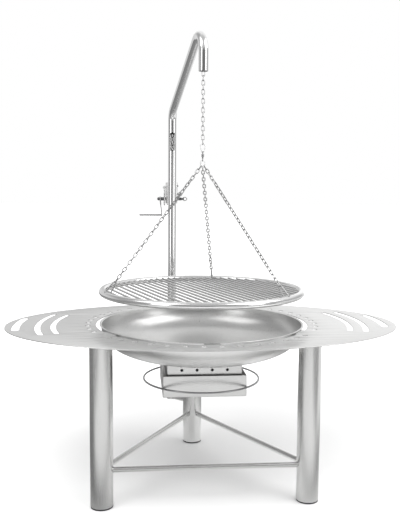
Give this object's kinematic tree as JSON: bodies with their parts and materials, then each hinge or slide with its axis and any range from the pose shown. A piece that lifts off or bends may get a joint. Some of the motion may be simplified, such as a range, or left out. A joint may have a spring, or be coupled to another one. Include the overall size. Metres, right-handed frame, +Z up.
{
  "type": "swing grill",
  "caption": "Three-legged swing grill with an oval steel table, round fire bowl, ash drawer, and a bent gallows tube whose hand winch lifts a round grate on chains.",
  "frame": {"origin": "on the floor under the middle of the whole object's box", "axes": "+Z up, +X along the table's long axis to the cook's right, the cook stands on the -Y side and the gallows on the +Y side"},
  "size_m": [1.516, 1.1332, 1.7713],
  "materials": {
    "satin_steel": "satin stainless sheet and tube",
    "polished_steel": "polished stainless tube and bar",
    "chain_steel": "plain round wire and chain",
    "dark_steel": "dark small hardware",
    "black_plastic": "matt black plug"
  },
  "bodies": {
    "stand": {"table_top": "satin_steel", "leg_front_left": "satin_steel", "leg_front_right": "satin_steel", "leg_back": "satin_steel", "leg_cap_front_left": "satin_steel", "leg_cap_front_right": "satin_steel", "leg_cap_back": "satin_steel", "foot_front_left": "black_plastic", "foot_front_right": "black_plastic", "foot_back": "black_plastic", "brace_front": "satin_steel", "brace_left": "satin_steel", "brace_right": "satin_steel", "mast_socket": "satin_steel", "socket_arm_lower": "satin_steel", "socket_arm_upper": "satin_steel", "fire_bowl": "satin_steel", "air_collar": "satin_steel"},
    "ash_drawer": {"ash_tray": "satin_steel", "tray_ring": "satin_steel"},
    "gallows": {"gallows_tube": "polished_steel", "winch_frame": "satin_steel", "tip_guide": "dark_steel", "winch_chain": "chain_steel", "pawl_pin": "satin_steel", "side_bolt": "dark_steel", "side_knob": "satin_steel"},
    "pawl": {"pawl": "dark_steel"},
    "crank": {"winch_axle": "satin_steel", "winch_drum": "satin_steel", "ratchet_wheel": "satin_steel", "hub_spacer": "dark_steel", "crank_arm": "satin_steel", "hub_nut": "dark_steel", "retaining_ring": "chain_steel", "grip_pin": "satin_steel"},
    "grip": {"crank_grip": "polished_steel"},
    "lift": {"lift_chain": "chain_steel"},
    "hook": {"snap_hook": "chain_steel"},
    "gate": {"snap_gate": "chain_steel"},
    "swivel": {"swivel_body": "dark_steel"},
    "hanging_grate": {"swivel_stem": "dark_steel", "master_ring": "chain_steel", "grate": "polished_steel", "suspension_chain_left": "chain_steel", "suspension_chain_right": "chain_steel", "suspension_chain_back": "chain_steel", "rim_eye_left": "chain_steel", "rim_eye_right": "chain_steel", "rim_eye_back": "chain_steel"}
  },
  "joints": [
    {"name": "gallows_swing", "type": "hinge", "parent": "stand", "child": "gallows", "pos_m": [-0.0955, 0.46935, 0.556], "axis": [0, 0, 1], "continuous": true},
    {"name": "drawer_slide", "type": "slide", "parent": "stand", "child": "ash_drawer", "axis": [0, -1, 0], "range_m": [0, 0.25]},
    {"name": "lift_slide", "type": "slide", "parent": "gallows", "child": "lift", "axis": [0, 0, 1], "range_m": [-0.06, 0.24], "deforming": ["lift_chain"]},
    {"name": "crank_turn", "type": "hinge", "parent": "gallows", "child": "crank", "pos_m": [-0.0955, 0.53135, 1.118], "axis": [1, 0, 0], "range_deg": [-140, 552]},
    {"name": "grip_spin", "type": "hinge", "parent": "crank", "child": "grip", "pos_m": [-0.1905, 0.53135, 1.043], "axis": [1, 0, 0], "continuous": true},
    {"name": "pawl_lift", "type": "hinge", "parent": "gallows", "child": "pawl", "pos_m": [-0.0955, 0.50335, 1.172], "axis": [1, 0, 0], "range_deg": [-35, 0], "stiffness_Nm_per_rad": 0.05, "springref_deg": 17.19},
    {"name": "hook_swing", "type": "hinge", "parent": "lift", "child": "hook", "pos_m": [-0.004, -0.06065, 1.334], "axis": [1, 0, 0], "range_deg": [-4, 4]},
    {"name": "gate_turn", "type": "hinge", "parent": "hook", "child": "gate", "pos_m": [0.0044, -0.06065, 1.326], "axis": [0, 1, 0], "range_deg": [0, 22], "stiffness_Nm_per_rad": 0.01, "springref_deg": -17.19},
    {"name": "swivel_swing", "type": "hinge", "parent": "hook", "child": "swivel", "pos_m": [-0.004, -0.06065, 1.304], "axis": [0, 1, 0], "range_deg": [-4, 4]},
    {"name": "grate_spin", "type": "hinge", "parent": "swivel", "child": "hanging_grate", "pos_m": [-0.004, -0.06065, 1.284], "axis": [0, 0, 1], "continuous": true}
  ],
  "couplings": [
    {"joint": "crank_turn", "follows": "lift_slide", "rad_per_m": 40}
  ]
}
